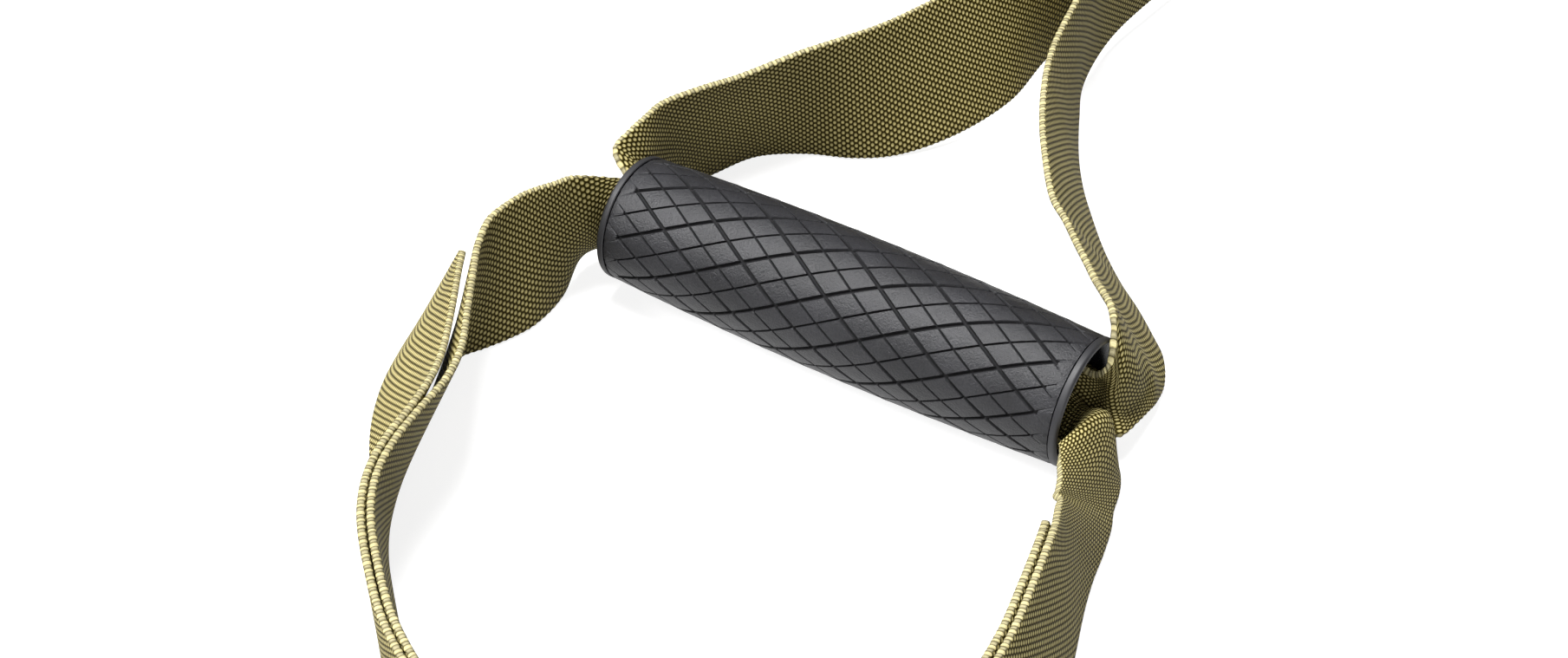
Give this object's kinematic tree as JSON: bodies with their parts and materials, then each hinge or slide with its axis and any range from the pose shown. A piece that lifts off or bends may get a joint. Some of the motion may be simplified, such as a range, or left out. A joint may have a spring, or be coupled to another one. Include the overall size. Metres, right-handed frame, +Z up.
{
  "type": "suspension trainer",
  "caption": "Strap trainer with webbing handles and foot cradles on rubber grips, cam buckles, a shared anchor ring and a snap hook, lying on the floor.",
  "frame": {"origin": "centre of the bounding box on the floor, which is the anchor ring's centre", "axes": "+X from the pictured handle's side towards the other handle and the carabiner, +Y along the pictured handle's main strap, +Z up"},
  "size_m": [0.798, 0.4442, 0.05],
  "materials": {
    "webbing": "woven, matt, olive",
    "grip_rubber": "grooved, satin, charcoal",
    "core_plastic": "matt black",
    "cap_plastic": "semi-gloss black",
    "ring_steel": "satin",
    "spring_steel": "drawn wire",
    "buckle_metal": "satin black",
    "cam_metal": "satin black",
    "carabiner_alloy": "satin black",
    "tab_fabric": "matt black"
  },
  "bodies": {
    "root": {"left_link_ring": "ring_steel", "left_main_strap": "webbing", "left_buckle_frame": "buckle_metal", "left_cam_pin": "ring_steel", "left_cam_spring": "spring_steel", "left_pull_tab": "tab_fabric", "left_buckle_strap": "webbing", "right_link_ring": "ring_steel", "right_main_strap": "webbing", "right_buckle_frame": "buckle_metal", "right_cam_pin": "ring_steel", "right_cam_spring": "spring_steel", "right_pull_tab": "tab_fabric", "right_buckle_strap": "webbing", "anchor_ring": "ring_steel", "anchor_strap": "webbing"},
    "left_handle": {"left_handle_strap": "webbing", "left_foot_cradle": "webbing"},
    "left_grip": {"left_grip_sleeve": "grip_rubber", "left_grip_core": "core_plastic", "left_grip_cap_far": "cap_plastic", "left_grip_cap_near": "cap_plastic"},
    "left_cam": {"left_cam_lever": "cam_metal"},
    "right_handle": {"right_handle_strap": "webbing", "right_foot_cradle": "webbing"},
    "right_grip": {"right_grip_sleeve": "grip_rubber", "right_grip_core": "core_plastic", "right_grip_cap_far": "cap_plastic", "right_grip_cap_near": "cap_plastic"},
    "right_cam": {"right_cam_lever": "cam_metal"},
    "carabiner": {"carabiner_body": "carabiner_alloy", "gate_pin": "ring_steel"},
    "gate": {"carabiner_gate": "carabiner_alloy", "gate_plunger": "ring_steel", "gate_spring": "spring_steel"}
  },
  "joints": [
    {"name": "left_handle_swing", "type": "hinge", "parent": "root", "child": "left_handle", "pos_m": [-0.1455, 0.156, 0.025], "axis": [0, 0, 1], "range_deg": [-25, 12]},
    {"name": "left_grip_spin", "type": "hinge", "parent": "left_handle", "child": "left_grip", "pos_m": [-0.285, -0.049, 0.0175], "axis": [0.8457, -0.5337, 0], "continuous": true},
    {"name": "left_cam_lift", "type": "hinge", "parent": "root", "child": "left_cam", "pos_m": [0, 0.11, 0.0142], "axis": [1, 0, 0], "range_deg": [0, 32], "stiffness_Nm_per_rad": 0.25, "springref_deg": -20.05},
    {"name": "right_handle_swing", "type": "hinge", "parent": "root", "child": "right_handle", "pos_m": [0.1455, -0.156, 0.025], "axis": [0, 0, 1], "range_deg": [-25, 12]},
    {"name": "right_grip_spin", "type": "hinge", "parent": "right_handle", "child": "right_grip", "pos_m": [0.285, 0.049, 0.0175], "axis": [-0.8457, 0.5337, 0], "continuous": true},
    {"name": "right_cam_lift", "type": "hinge", "parent": "root", "child": "right_cam", "pos_m": [0, -0.11, 0.0142], "axis": [-1, 0, 0], "range_deg": [0, 32], "stiffness_Nm_per_rad": 0.25, "springref_deg": -20.05},
    {"name": "carabiner_swing", "type": "hinge", "parent": "root", "child": "carabiner", "pos_m": [0.073, 0, 0.0071], "axis": [0, -1, 0], "range_deg": [0, 95]},
    {"name": "gate_open", "type": "hinge", "parent": "carabiner", "child": "gate", "pos_m": [0.09299, -0.022, 0.00661], "axis": [0.0244, 0, 0.9997], "range_deg": [0, 27], "stiffness_Nm_per_rad": 0.05, "springref_deg": -28.65}
  ]
}
